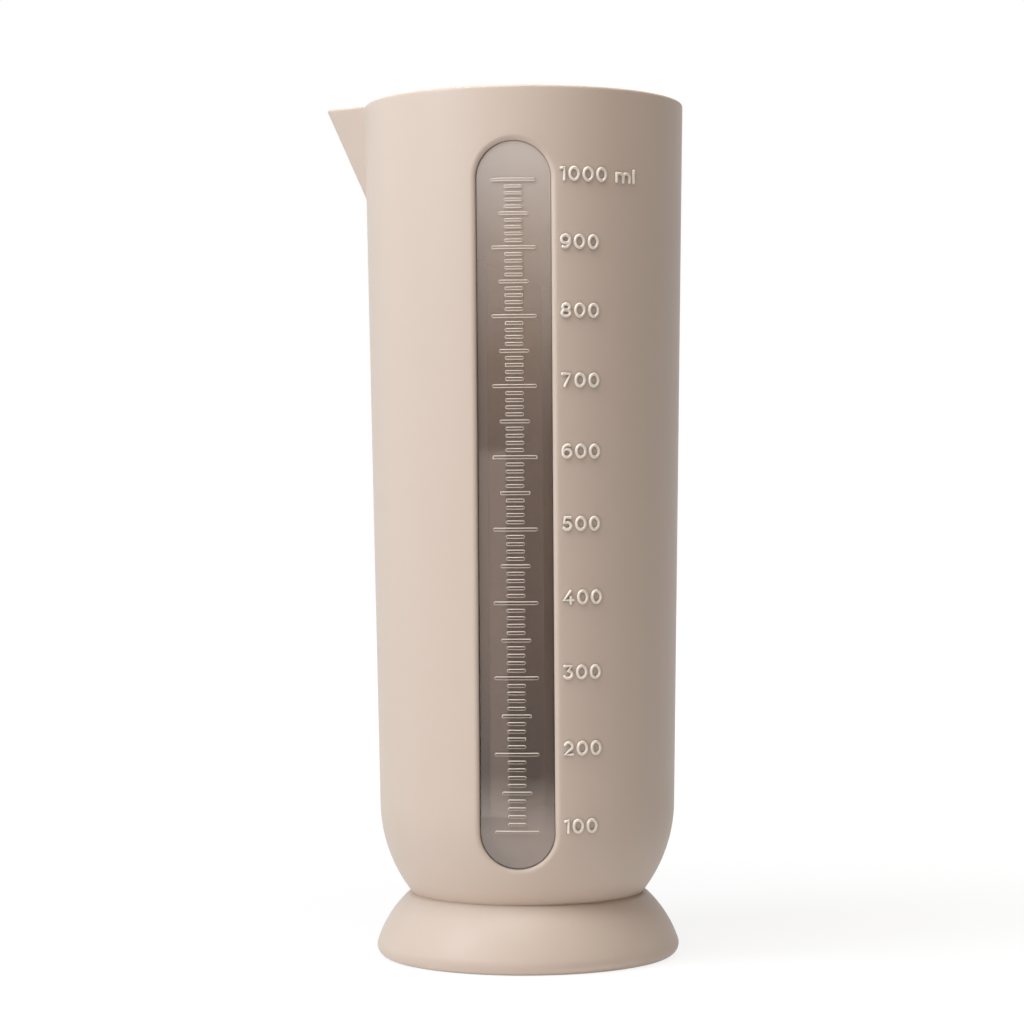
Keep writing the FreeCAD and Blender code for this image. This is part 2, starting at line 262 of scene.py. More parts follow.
def add_grid(columns, rows):
    """A grid whose columns and rows stand at the given places on the sheet."""
    pick()
    across, up = len(columns) - 1, len(rows) - 1
    bpy.ops.mesh.primitive_grid_add(x_subdivisions=across, y_subdivisions=up, size=1, location=(0, 0, 0))
    grid = bpy.context.object
    for vertex in grid.data.vertices:
        column = round((vertex.co.x + 0.5) * across)
        row = round((vertex.co.y + 0.5) * up)
        vertex.co = (columns[column], rows[row], 0)
    return grid


def steps(start, end, count):
    """Equal steps from a start up to, and without, an end."""
    return [start + (end - start) * i / count for i in range(count)]


def stations(*stops):
    """Places in equal steps through stops, each given as (place, steps to the next stop)."""
    places = []
    for (start, count), (end, _) in zip(stops, stops[1:]):
        places += steps(start, end, count)
    return places + [stops[-1][0]]


# ---- The jug's form ------------------------------------------------------------------------------

def smooth_max(a, b, softness):
    """The larger of two values, rounded where they cross."""
    near = max(softness - abs(a - b), 0.0) / softness
    return max(a, b) + near * near * softness / 4


class JugForm:
    """A ball below, a cone tangent to it above, and a pinched spout towards -X."""

    def __init__(self, sizes):
        self.s = sizes
        self.centre = BOWL_LIFT + sizes.bowl_radius
        self.window_low = WINDOW_LOW + WINDOW_HALF
        self.window_high = WINDOW_HIGH - WINDOW_HALF
        self.inner_ball = sizes.bowl_radius - sizes.bowl_wall
        self.inner_rim = RIM_RADIUS - sizes.rim_wall
        tip = RIM_RADIUS + sizes.spout_reach
        crease = math.sqrt(RIM_RADIUS ** 2 - sizes.spout_half ** 2)
        keel_foot = self.radius(RIM_HEIGHT - sizes.spout_drop)
        self.tip = tip
        self.keel_slope = (tip - keel_foot) / sizes.spout_drop
        self.side_angle = math.atan2(sizes.spout_half, tip - crease)
        side = Vector((tip - crease, sizes.spout_half, 0))
        keel = Vector((tip - keel_foot, 0, -sizes.spout_drop))
        self.channel_shift = sizes.spout_wall / abs(side.cross(keel).normalized().x)

    def tangent(self, rim, ball):
        """Radius and height at which the cone leaves the ball."""
        rise = RIM_HEIGHT - self.centre
        angle = math.atan2(rise, rim) - math.acos(ball / math.hypot(rim, rise))
        return ball * math.cos(angle), self.centre + ball * math.sin(angle)

    def turned_radius(self, height, rim, ball):
        wall_radius, wall_height = self.tangent(rim, ball)
        if height >= wall_height:
            share = (height - wall_height) / (RIM_HEIGHT - wall_height)
            return wall_radius + (rim - wall_radius) * share
        return math.sqrt(max(ball ** 2 - (height - self.centre) ** 2, 0.0))

    def radius(self, height, depth=0.0):
        """Radius of a face at a depth below the outer one, without the spout."""
        return self.turned_radius(height, RIM_RADIUS - depth, self.s.bowl_radius - depth)

    def inner_radius(self, height):
        return self.turned_radius(height, self.inner_rim, self.inner_ball)

    def with_spout(self, radius, height, angle, shift, rounding):
        """Radius of the outer face, or with the channel's shift of the inner one, with the spout."""
        away = abs(angle - math.radians(SPOUT_AT))
        if away > math.radians(3 * SPOUT_SPAN) or height < RIM_HEIGHT - 2 * self.s.spout_drop:
            return radius
        line = self.tip - self.keel_slope * (RIM_HEIGHT - height) - shift
        tip = smooth_max(line, radius - self.s.crease_blend, self.s.keel_blend)
        middle_at = tip - rounding / math.sin(self.side_angle)
        turn = math.atan2(
            rounding * math.cos(self.side_angle),
            middle_at + rounding * math.sin(self.side_angle),
        )
        if away < turn:
            across = middle_at * math.sin(away)
            wedge = middle_at * math.cos(away) + math.sqrt(rounding ** 2 - across ** 2)
        else:
            wedge = tip * math.sin(self.side_angle) / math.sin(self.side_angle + away)
        return smooth_max(radius, wedge, self.s.crease_blend)

    def outer_at(self, height, angle):
        return self.with_spout(self.radius(height), height, angle, 0.0, self.s.keel_rounding)

    def inner_at(self, height, angle):
        rounding = self.s.channel_rounding
        return self.with_spout(self.inner_radius(height), height, angle, self.channel_shift, rounding)

    def angle(self, across, radius):
        """Angle from -Y of a place on the sheet. Across the front panel it is a true width."""
        width = abs(across)
        edge = math.asin(PANEL_HALF / radius)
        blend_angle = math.radians(PANEL_BLEND / SHEET_PER_DEGREE)
        if width <= PANEL_HALF + CLOSE:
            turn = math.asin(min(width, PANEL_HALF) / radius)
        elif width < PANEL_BLEND:
            turn = edge + (blend_angle - edge) * (width - PANEL_HALF) / (PANEL_BLEND - PANEL_HALF)
        else:
            turn = math.radians(width / SHEET_PER_DEGREE)
        return math.copysign(turn, across)

    def wrap(self, across, up, level):
        """Place on the jug of a point of the sheet."""
        depth = -level
        inner = abs(depth - self.s.rim_wall) < CLOSE
        height = up
        if up < PANEL_LOW - CLOSE:
            ball = self.inner_ball if inner else self.s.bowl_radius - depth
            panel_turn = math.acos((self.centre - PANEL_LOW) / ball)
            turn = panel_turn * (up - POLE) / (PANEL_LOW - POLE)
            angle = self.angle(across, ball * math.sin(panel_turn))
            radius = ball * math.sin(turn)
            height = self.centre - ball * math.cos(turn)
        elif up > RIM_HEIGHT - self.s.rim_rounding - CLOSE:
            angle = self.angle(across, self.radius(height))
            outer, inner_face = self.outer_at(height, angle), self.inner_at(height, angle)
            radius = outer + (inner_face - outer) * depth / self.s.rim_wall
        elif inner:
            angle = self.angle(across, self.inner_radius(height))
            radius = self.inner_at(height, angle)
        elif depth < CLOSE:
            angle = self.angle(across, self.radius(height))
            radius = self.outer_at(height, angle)
        else:
            radius = self.radius(height, depth)
            angle = self.angle(across, radius)
        return radius * math.sin(angle), -radius * math.cos(angle), height

    def round_end(self, radius, turn, upper, level):
        """Place on the sheet, a turn round one of the two round ends of a slot."""
        rise = radius * math.sin(turn)
        up = self.window_high + rise if upper else self.window_low - rise
        return Vector((radius * math.cos(turn), up, level))

    def slot_place(self, start, offset, level, share=1.0):
        """Where a vertex of the front panel's outline goes on a slot-shaped ring round the window."""
        radius = WINDOW_HALF + offset
        end_steps = 2 * PANEL_END_ROWS + PANEL_COLUMNS
        if self.window_low - CLOSE <= start.y <= self.window_high + CLOSE:
            goal = Vector((math.copysign(radius, start.x), start.y, level))
        else:
            upper = start.y > self.window_high
            middle_at = self.window_high if upper else self.window_low
            end = PANEL_HIGH if upper else PANEL_LOW
            if abs(start.y - end) < CLOSE:
                step = PANEL_END_ROWS + PANEL_COLUMNS * (PANEL_HALF - start.x) / (2 * PANEL_HALF)
            else:
                step = PANEL_END_ROWS * (start.y - middle_at) / (end - middle_at)
                step = step if start.x > 0 else end_steps - step
            goal = self.round_end(radius, math.pi * step / end_steps, upper, level)
        return start.lerp(goal, share)


def read_sizes():
    """The sizes as plain numbers, which are quick to read in a loop."""
    group = bpy.context.scene.pitcher_sizes
    return SimpleNamespace(**{name: getattr(group, name) for name in PitcherSizes.__annotations__})


def quarter(count):
    """Sine and one less cosine over a quarter turn, for rounding an edge."""
    turns = [math.pi / 2 * i / count for i in range(1, count + 1)]
    return [(math.sin(t), 1 - math.cos(t)) for t in turns]


# ---- Vessel --------------------------------------------------------------------------------------

ROLL_LEAD_IN = (0.35, 0.7, 1)   # shares of the way from the panel's outline to the window's roll
FRAME_LEAD_IN = (0.5, 1)        # the same, to the frame's border
FRAME_ROUNDING = 0.4            # rounding of the frame's edge, as a share of the ledge's thickness


def wall_columns():
    """Columns of the sheet, from the back round the spout's side to the front panel and on."""
    blend = PANEL_BLEND / SHEET_PER_DEGREE
    spout_side = stations(
        (-180, 38), (SPOUT_AT - SPOUT_SPAN, 112), (SPOUT_AT + SPOUT_SPAN, 14), (-blend, 0),
    )
    front = stations(
        (-PANEL_BLEND, 12), (-PANEL_HALF, PANEL_COLUMNS), (PANEL_HALF, 12), (PANEL_BLEND, 0),
    )
    left = [angle * SHEET_PER_DEGREE for angle in spout_side[:-1]]
    right = [angle * SHEET_PER_DEGREE for angle in stations((blend, 66), (180, 0))]
    return left + front[:-1] + right


def wall_rows(form):
    return stations(
        (POLE, 30),
        (PANEL_LOW, PANEL_END_ROWS),
        (form.window_low, 4),
        (form.centre + 1.0 * MM, 24),
        (RIM_HEIGHT - 1.2 * form.s.spout_drop, 10),
        (form.window_high, PANEL_END_ROWS),
        (PANEL_HIGH, 10),
        (RIM_HEIGHT - form.s.rim_rounding, 0),
    )


def panel_outline(level):
    """Test for the edges round the hole of the front panel, on a sheet at a level."""
    def test(edge):
        at = middle(edge)
        across = abs(abs(at.x) - PANEL_HALF) < CLOSE and PANEL_LOW < at.y < PANEL_HIGH
        ends = min(abs(at.y - PANEL_LOW), abs(at.y - PANEL_HIGH)) < CLOSE and abs(at.x) < PANEL_HALF
        return edge.is_boundary and abs(at.z - level) < CLOSE and (across or ends)
    return test


def make_vessel():
    form = JugForm(read_sizes())
    s = form.s
    piece = add_grid(wall_columns(), wall_rows(form))
    edit(piece)

    # Front panel out of the sheet, then a second sheet for the inner face
    def in_panel(face):
        at = face.calc_center_median()
        return abs(at.x) < PANEL_HALF and PANEL_LOW < at.y < PANEL_HIGH
    choose(piece, "faces", in_panel)
    bpy.ops.mesh.delete(type="FACE")
    take_all()
    bpy.ops.mesh.duplicate_move()
    bpy.ops.transform.translate(value=(0, 0, -s.rim_wall))

    # Rolled edge round the window, the seat for the strip and the ledge behind it
    frame_depth = s.seat_depth + s.ledge_thickness
    rings = [(s.roll, 0, share) for share in ROLL_LEAD_IN]
    rings += [(s.roll * (1 - sine), -s.roll * drop) for sine, drop in quarter(8)]
    rings += [(0, -s.seat_depth), (-s.ledge_reach, -s.seat_depth), (-s.ledge_reach, -frame_depth)]
    choose(piece, "edges", panel_outline(0))
    extrude_rings(piece, form.slot_place, rings)

    # Thickened frame inside the jug
    edge = FRAME_ROUNDING * s.ledge_thickness
    top = edge - frame_depth
    rings = [(s.frame_margin, -s.rim_wall, share) for share in FRAME_LEAD_IN] + [(s.frame_margin, top)]
    rings += [(s.frame_margin - edge * drop, top - edge * sine) for sine, drop in quarter(4)]
    rings += [(-s.ledge_reach, -frame_depth)]
    choose(piece, "edges", panel_outline(-s.rim_wall))
    extrude_rings(piece, form.slot_place, rings)

    # Rim, rounded at both edges
    def top_outer(part):
        at = middle(part)
        return part.is_boundary and abs(at.y - RIM_HEIGHT + s.rim_rounding) < CLOSE and abs(at.z) < CLOSE

    def over_rim(start, up, level):
        return Vector((start.x, start.y + up, level))
    rim = [(s.rim_rounding * sine, -s.rim_rounding * drop) for sine, drop in quarter(6)]
    rim += [(up, -s.rim_wall - level) for up, level in reversed(rim)] + [(0, -s.rim_wall)]
    choose(piece, "edges", top_outer)
    extrude_rings(piece, over_rim, rim)
    leave_edit()

    reshape(piece, form.wrap)
    close_up(piece)
    return finish_piece(piece, "jug_vessel", "Moulded polypropylene", ["vessel"])


# ---- Sight strip ---------------------------------------------------------------------------------

MARK_STEP_ML = 10
FIRST_MARK_ML = 100
LAST_MARK_ML = 1000
MILLILITRE = 1e-6               # cubic metres
SLICE = 0.1 * MM
MARK_LENGTHS = {100: 12.0 * MM, 50: 8.1 * MM, 10: 5.0 * MM}
MARK_ROWS = (-1.0, -0.5, 0.0, 0.5, 1.0)     # rows across a mark, in halves of its height
MARK_END = 0.85                 # how far a mark's corners are drawn in, in halves of its height
MARK_CORNER = 0.98              # share of the quarter turn's rise that the outermost row takes
MARK_BEVEL = 0.23               # rounding of a mark's edges, as a share of its height
MARK_MARGIN = 0.4 * MM          # from the ends of the longest marks to the middle's outline
FLAT_TOP = 0.97                 # a raised face is a mark's side if its normal's Z is less
STRIP_LEAD_IN = (0.5, 0.97, 1)  # shares of the way from the middle's outline to the strip's edge
STRIP_ROUNDING = 0.08 * MM      # rounding of the strip's front edge


def cavity_area(form, height):
    """Level area of the liquid at a height, less the window's frame."""
    radius = form.inner_radius(height)
    wall = form.radius(height) - radius
    area = math.pi * radius ** 2
    if WINDOW_LOW < height < WINDOW_HIGH:
        stands_in = form.s.seat_depth + form.s.ledge_thickness - wall
        area -= 2 * (WINDOW_HALF + form.s.frame_margin) * max(stands_in, 0.0)
    return area


def mark_heights(form):
    """Height of the liquid at every mark, as (millilitres, height)."""
    height = BOWL_LIFT + form.s.bowl_wall
    volume = 0.0
    marks = []
    millilitres = FIRST_MARK_ML
    while millilitres <= LAST_MARK_ML and height < WINDOW_HIGH:
        step = cavity_area(form, height + SLICE / 2) * SLICE / MILLILITRE
        while volume + step >= millilitres and millilitres <= LAST_MARK_ML:
            marks.append((millilitres, height + SLICE * (millilitres - volume) / step))
            millilitres += MARK_STEP_ML
        volume += step
        height += SLICE
    return marks


def mark_length(millilitres):
    return next(size for step, size in MARK_LENGTHS.items() if millilitres % step == 0)


def strip_grid(form, marks, halves, side):
    """The middle of the strip's face, with rows across every mark and columns at the marks' ends.
    The ends of the marks are rounded by drawing their corners in."""
    half_mark = form.s.mark_height / 2
    right = stations((0, 3), (halves[0], 3), (halves[1], 4), (halves[2], 1), (side, 0))
    columns = [-x for x in reversed(right[1:])] + right
    rows = [marks[0][1] - 2 * half_mark]
    draw_in = {}
    for millilitres, height in marks:
        for share in MARK_ROWS:
            row = height + half_mark * share
            rows.append(row)
            reach = half_mark * MARK_END * (1 - math.sqrt(1 - (share * MARK_CORNER) ** 2))
            draw_in[round(row / CLOSE)] = (mark_length(millilitres) / 2, reach)
    rows.append(marks[-1][1] + 2 * half_mark)
    piece = add_grid(columns, rows)
    for vertex in piece.data.vertices:
        half, reach = draw_in.get(round(vertex.co.y / CLOSE), (0, 0))
        if reach and abs(abs(vertex.co.x) - half) < CLOSE:
            vertex.co.x -= math.copysign(reach, vertex.co.x)
    return piece, rows[0], rows[-1]


def give_looks(piece, looks):
    """In edit mode, gives each material to the faces that pass its test. Where two do, the later
    one stays."""
    for index, (material, test) in enumerate(looks):
        piece.data.materials.append(bpy.data.materials[material])
        choose(piece, "faces", test)
        piece.active_material_index = index
        bpy.ops.object.material_slot_assign()


def make_sight_strip():
    form = JugForm(read_sizes())
    s = form.s
    marks = mark_heights(form)
    half_mark = s.mark_height / 2
    halves = [size / 2 for size in sorted(MARK_LENGTHS.values())]
    side = halves[-1] + MARK_MARGIN
    piece, low, high = strip_grid(form, marks, halves, side)
    edit(piece)

    front, back = -s.strip_recess, -(s.seat_depth + s.ledge_thickness)
    seat = SEAT_CLEAR - s.seat_depth
    take_all()
    bpy.ops.transform.translate(value=(0, 0, back))
    bpy.ops.mesh.duplicate_move()
    bpy.ops.transform.translate(value=(0, 0, front - back))

    # From the outline of the middle out to the slot-shaped edge
    def edge_place(start, radius, level, share=1.0):
        upper = abs(start.y - high) < CLOSE
        if upper or abs(start.y - low) < CLOSE:
            beyond = high - form.window_high if upper else form.window_low - low
            first_turn = math.asin(min(max(beyond / radius, -1), 1))
            turn = first_turn + (math.pi - 2 * first_turn) * (side - start.x) / (2 * side)
            goal = form.round_end(radius, turn, upper, level)
        else:
            middle_at = min(max(start.y, form.window_low), form.window_high)
            width = math.sqrt(radius ** 2 - (start.y - middle_at) ** 2)
            goal = Vector((math.copysign(width, start.x), start.y, level))
        return start.lerp(goal, share)

    def outline(level):
        def test(edge):
            at = middle(edge)
            inside = abs(at.x) < side + CLOSE and low - CLOSE < at.y < high + CLOSE
            return edge.is_boundary and abs(at.z - level) < CLOSE and inside
        return test

    outer = WINDOW_HALF - BOND_LINE
    core = outer - s.ledge_reach - STRIP_GAP
    flat = outer - STRIP_ROUNDING
    rings = [(flat, front, share) for share in STRIP_LEAD_IN]
    rings += [
        (outer - STRIP_ROUNDING * (1 - sine), front - STRIP_ROUNDING * drop) for sine, drop in quarter(3)
    ]
    rings += [(outer, seat), (core, seat), (core, back)]
    choose(piece, "edges", outline(front))
    extrude_rings(piece, edge_place, rings)
    choose(piece, "edges", outline(back))
    extrude_rings(piece, edge_place, [(core, back)])

    # Marks: the faces between a mark's edges, raised and rounded
    spans = [(height, mark_length(ml) / 2) for ml, height in marks]

    def in_mark(face):
        at = face.calc_center_median()
        if abs(at.z - front) > CLOSE or abs(at.x) > side:
            return False
        return any(abs(at.y - height) < half_mark and abs(at.x) < half for height, half in spans)
    choose(piece, "faces", in_mark)
    bpy.ops.mesh.extrude_region_move(TRANSFORM_OT_translate={"value": (0, 0, s.mark_raise)})

    def top_edge(edge):
        level = all(abs(v.co.z - front - s.mark_raise) < CLOSE * 5 for v in edge.verts)
        return level and edge.calc_face_angle(0) > 1
    choose(piece, "edges", top_edge)
    bpy.ops.mesh.bevel(offset=MARK_BEVEL * s.mark_height, segments=3, affect="EDGES")

    def mark_side(face):
        return face.calc_center_median().z > front + CLOSE and face.normal.z < FLAT_TOP

    # The border's back faces, which get opaque painted light and shade
    def weld_face(face):
        at = face.calc_center_median()
        return min(abs(v.co.z - seat) for v in face.verts) < CLOSE and at.z > seat - CLOSE
    give_looks(piece, (
        ("Clear copolyester", lambda face: True),
        ("Frosted copolyester", mark_side),
        ("Welded copolyester", weld_face),
    ))
    leave_edit()

    reshape(piece, form.wrap)
    close_up(piece)
    return finish_piece(piece, "clear_sight_strip", None, ["sight_strip"], smooth_angle=50)


# ---- Figures -------------------------------------------------------------------------------------

FIGURE_GAP = 0.33               # between characters, as a share of the centre lines' height


def arc(x, y, rx, ry, start, end, count=14):
    """Points on an ellipse between two angles in degrees."""
    turns = [math.radians(start + (end - start) * i / count) for i in range(count + 1)]
    return [(x + rx * math.cos(t), y + ry * math.sin(t)) for t in turns]


def strokes():
    """Centre lines of each character's strokes, in shares of the centre lines' height, and widths.
    A stroke that ends where it starts is a closed ring."""
    zero = arc(0.39, 0.5, 0.39, 0.5, 0, 360, 36)
    bowl_3 = arc(0.32, 0.305, 0.34, 0.305, 88, -148, 18)
    bowl_5 = arc(0.32, 0.30, 0.34, 0.30, 80, -145, 18)
    return {
        "0": (0.78, [zero]),
        "1": (0.27, [[(0.0, 0.93), (0.27, 1.0), (0.27, 0.0)]]),
        "2": (0.68, [arc(0.33, 0.68, 0.32, 0.32, 155, -38) + [(0.0, 0.0), (0.68, 0.0)]]),
        "3": (0.66, [[(0.03, 1.0), (0.60, 1.0), (0.30, 0.61)] + bowl_3]),
        "4": (0.80, [[(0.58, 1.0), (0.0, 0.25), (0.80, 0.25)], [(0.60, 0.52), (0.60, 0.0)]]),
        "5": (0.66, [[(0.60, 1.0), (0.12, 1.0), (0.07, 0.57), (0.30, 0.60)] + bowl_5]),
        "6": (0.70, [arc(0.42, 0.52, 0.42, 0.48, 68, 200, 14) + arc(0.36, 0.33, 0.35, 0.33, 190, 520, 30)]),
        "7": (0.68, [[(0.0, 1.0), (0.68, 1.0), (0.20, 0.0)]]),
        "8": (0.70, [arc(0.35, 0.75, 0.29, 0.25, 0, 360, 28), arc(0.35, 0.26, 0.35, 0.26, 0, 360, 30)]),
        "9": (0.70, [arc(0.28, 0.48, 0.42, 0.48, -112, 20, 14) + arc(0.34, 0.67, 0.35, 0.33, 10, 340, 30)]),
        "m": (1.36, [
            [(0.0, 0.70), (0.0, 0.0)],
            [(0.0, 0.42)] + arc(0.34, 0.40, 0.34, 0.30, 180, 0) + [(0.68, 0.0)],
            [(0.68, 0.42)] + arc(1.02, 0.40, 0.34, 0.30, 180, 0) + [(1.36, 0.0)],
        ]),
        "l": (0.0, [[(0.0, 1.0), (0.0, 0.0)]]),
        " ": (0.16, []),
    }


def is_ring(points):
    return math.dist(points[0], points[-1]) < CLOSE


def add_figure_curve(lines, half_stroke):
    """A round tube along the centre lines of one label."""
    data = bpy.data.curves.new("label", "CURVE")
    data.dimensions = "3D"
    data.bevel_depth = half_stroke
    data.bevel_resolution = 3
    data.use_fill_caps = True
    for points in lines:
        spline = data.splines.new("POLY")
        spline.use_cyclic_u = is_ring(points)
        if spline.use_cyclic_u:
            points = points[:-1]
        spline.points.add(len(points) - 1)
        for target, (x, y) in zip(spline.points, points):
            target.co = (x, y, 0, 1)
    label = bpy.data.objects.new("label", data)
    bpy.context.collection.objects.link(label)
    return label


def label_lines(text, s):
    """Centre lines of a label's strokes in metres, from its left edge and its baseline."""
    shapes = strokes()
    tall = s.figure_height - s.stroke_width
    left = s.stroke_width / 2
    lines = []
    for character in text:
        width, shape = shapes[character]
        for points in shape:
            lines.append([(left + x * tall, s.stroke_width / 2 + y * tall) for x, y in points])
        left += width * tall + s.stroke_width / 2 + FIGURE_GAP * tall
    return lines


def make_label(form, text, height):
    """One label as a flat mesh with rounded stroke ends, wrapped round the jug beside its mark."""
    s = form.s
    half = s.stroke_width / 2
    lines = label_lines(text, s)
    pick(add_figure_curve(lines, half))
    bpy.ops.object.convert(target="MESH")
    parts = [bpy.context.object]
    ends = [end for points in lines if not is_ring(points) for end in (points[0], points[-1])]
    for x, y in ends:
        bpy.ops.mesh.primitive_uv_sphere_add(segments=12, ring_count=8, radius=half, location=(x, y, 0))
        parts.append(bpy.context.object)
    label = join(parts)
    bpy.ops.object.transform_apply(location=True, rotation=True, scale=True)

    def place(x, y, z):
        up = height - s.mark_height / 2 + y
        radius = form.radius(up)
        angle = math.asin(s.figure_left / radius) + x / radius
        out = radius + z * (s.stroke_raise / half)
        return out * math.sin(angle), -out * math.cos(angle), up
    reshape(label, place)
    return label


def make_figures():
    form = JugForm(read_sizes())
    labels = []
    for millilitres, height in mark_heights(form):
        if millilitres % 100 == 0:
            unit = " ml" if millilitres == LAST_MARK_ML else ""
            labels.append(make_label(form, "%d%s" % (millilitres, unit), height))
    figures = join(labels)
    close_up(figures, 1e-7)
    return finish_piece(figures, "scale_figures", "Polished polypropylene", smooth_angle=60)


# ---- Foot ring -----------------------------------------------------------------------------------

FOOT_STEPS = 224                # round the foot
SINK = 0.5                      # how far a rib runs into the flare and the collar, as a share of each


class FootForm:
    """The foot ring's section: a bulging flare, a standing ring and a collar under the jug."""

    def __init__(self, sizes):
        self.s = sizes
        self.ball_centre = BOWL_LIFT + sizes.bowl_radius
        self.neck = math.sqrt(sizes.bowl_radius ** 2 - (self.ball_centre - FOOT_HEIGHT) ** 2)
        lip = self.neck + sizes.lip_width
        half_r = (sizes.foot_radius - lip) / 2
        half_z = (sizes.foot_rounding - FOOT_HEIGHT) / 2
        chord = math.hypot(half_r, half_z)
        arm = math.sqrt(sizes.flare_radius ** 2 - chord ** 2) / chord
        self.centre = Vector((lip + half_r + half_z * arm, FOOT_HEIGHT + half_z - half_r * arm))
        reach = sizes.flare_radius - sizes.foot_rounding
        self.standing = self.centre.x + math.sqrt(reach ** 2 - (sizes.foot_rounding - self.centre.y) ** 2)
        self.collar_inner = self.neck - sizes.collar_reach

    def flare(self, height, depth=0.0):
        return self.centre.x + math.sqrt((self.s.flare_radius - depth) ** 2 - (height - self.centre.y) ** 2)

    def ball(self, height, depth):
        """Radius at a height of a ball a depth outside the rounded bottom."""
        return math.sqrt((self.s.bowl_radius + depth) ** 2 - (self.ball_centre - height) ** 2)

    def ball_height(self, radius, depth):
        return self.ball_centre - math.sqrt((self.s.bowl_radius + depth) ** 2 - radius ** 2)

    def meeting(self, flare_depth, ball_depth):
        """Height at which a face inside the flare meets a face under the collar."""
        low, high = self.s.base_height, FOOT_HEIGHT
        for _ in range(40):
            height = (low + high) / 2
            if self.flare(height, flare_depth) > self.ball(height, ball_depth):
                low = height
            else:
                high = height
        return low

    def flare_points(self, start, end, count, depth=0.0):
        return [(self.flare(height, depth), height) for height in steps(start, end, count)]

    def ball_points(self, start, end, count, depth):
        return [(radius, self.ball_height(radius, depth)) for radius in steps(start, end, count) + [end]]

    def section(self):
        """The section's outline as points (radius, height), from the lip round and back to it."""
        s = self.s
        edge = Vector((self.standing, s.foot_rounding))
        out = (edge - self.centre).normalized()
        last_turn = math.atan2(out.y, out.x)
        points = self.flare_points(FOOT_HEIGHT - s.lip_fall, edge.y + s.foot_rounding * out.y, 26)
        for turn in steps(last_turn, -math.pi / 2, 12) + [-math.pi / 2]:
            across, up = s.foot_rounding * math.cos(turn), s.foot_rounding * math.sin(turn)
            points.append((edge.x + across, edge.y + up))
        base_inner = self.standing - s.base_width
        points += [(base_inner, 0.0), (base_inner, s.base_height)]
        under = SEAT_GAP + s.collar_wall
        top = self.meeting(s.foot_wall, under)
        points += self.flare_points(s.base_height, top, 10, s.foot_wall)
        points += self.ball_points(self.ball(top, under), self.collar_inner, 8, under)
        return points + self.ball_points(self.collar_inner, self.ball(FOOT_HEIGHT, SEAT_GAP), 8, SEAT_GAP)

    def rib(self):
        """A rib's outline, run a little way into the flare and the collar."""
        s = self.s
        sink = SINK * s.foot_wall
        under = SEAT_GAP + s.collar_wall * SINK
        top = self.meeting(sink, under)
        points = [(self.collar_inner, s.rib_lift)] + self.flare_points(s.rib_lift, top, 8, sink)
        return points + self.ball_points(self.ball(top, under), self.collar_inner, 6, under)


def add_outline(points):
    """A polygon in the plane of radius (X) and height (Z)."""
    pick()
    bpy.ops.mesh.primitive_circle_add(vertices=len(points), radius=1, fill_type="NGON", location=(0, 0, 0))
    outline = bpy.context.object
    ring = sorted(outline.data.vertices, key=lambda v: math.atan2(v.co.y, v.co.x))
    for vertex, (radius, height) in zip(ring, points):
        vertex.co = (radius, 0, height)
    return outline


def add_ribs(form):
    """The ribs between the flare and the collar, one modelled and then copied round."""
    s = form.s
    rib = add_outline(form.rib())
    edit(rib)
    take_all()
    bpy.ops.mesh.extrude_region_move(TRANSFORM_OT_translate={"value": (0, s.rib_thickness, 0)})
    take_all()
    bpy.ops.transform.translate(value=(0, -s.rib_thickness / 2, 0))
    bpy.ops.mesh.normals_make_consistent(inside=False)
    leave_edit()
    ribs = []
    for index in range(s.rib_count):
        copy = rib.copy()
        copy.data = rib.data.copy()
        bpy.context.collection.objects.link(copy)
        copy.data.transform(Matrix.Rotation(2 * math.pi * (index + 0.5) / s.rib_count, 4, "Z"))
        ribs.append(copy)
    bpy.data.objects.remove(rib)
    return join(ribs)


def make_foot_ring():
    form = FootForm(read_sizes())
    s = form.s
    foot = add_outline(form.section())
    edit(foot)
    take_all()
    bpy.ops.mesh.delete(type="ONLY_FACE")
    take_all()
    bpy.ops.mesh.spin(steps=FOOT_STEPS, angle=2 * math.pi, center=(0, 0, 0), axis=(0, 0, 1))
    leave_edit()
    close_up(foot)

    # Lip's outer edge rounded
    lip_height = FOOT_HEIGHT - s.lip_fall
    lip = form.flare(lip_height)

    def lip_edge(edge):
        level = all(abs(v.co.z - lip_height) < CLOSE * 5 for v in edge.verts)
        return level and all(abs(v.co.xy.length - lip) < CLOSE * 50 for v in edge.verts)
    edit(foot)
    choose(foot, "edges", lip_edge)
    bpy.ops.mesh.bevel(offset=s.lip_rounding, segments=4, affect="EDGES")
    leave_edit()

    ribs = add_ribs(form)
    pick(foot)
    union = foot.modifiers.new("Ribs", "BOOLEAN")
    union.operation = "UNION"
    union.solver = "EXACT"
    union.object = ribs
    bpy.ops.object.modifier_apply(modifier=union.name)
    bpy.data.objects.remove(ribs)
    return finish_piece(foot, "flared_foot", "Moulded polypropylene", ["foot_ring"])


# ---- Materials -----------------------------------------------------------------------------------

def add_node(tree, kind, settings=None, **links):
    """Adds a node, sets its properties and inputs, and links inputs that are given as outputs or as
    nodes, whose first output is meant. An input is named, or numbered as _0, _1 and so on."""
    node = tree.nodes.new("ShaderNode" + kind)
    for name, value in (settings or {}).items():
        setattr(node, name, value)
    for name, value in links.items():
        numbered = name[0] == "_"
        socket = node.inputs[int(name[1:]) if numbered else name.replace("_", " ")]
        if isinstance(value, bpy.types.Node):
            value = value.outputs[0]
        if isinstance(value, bpy.types.NodeSocket):
            tree.links.new(value, socket)
        else:
            socket.default_value = value
    return node


def new_material(name):
    """An empty material's node tree."""
    material = bpy.data.materials.new(name)
    material.use_nodes = True
    material.node_tree.nodes.clear()
    return material.node_tree


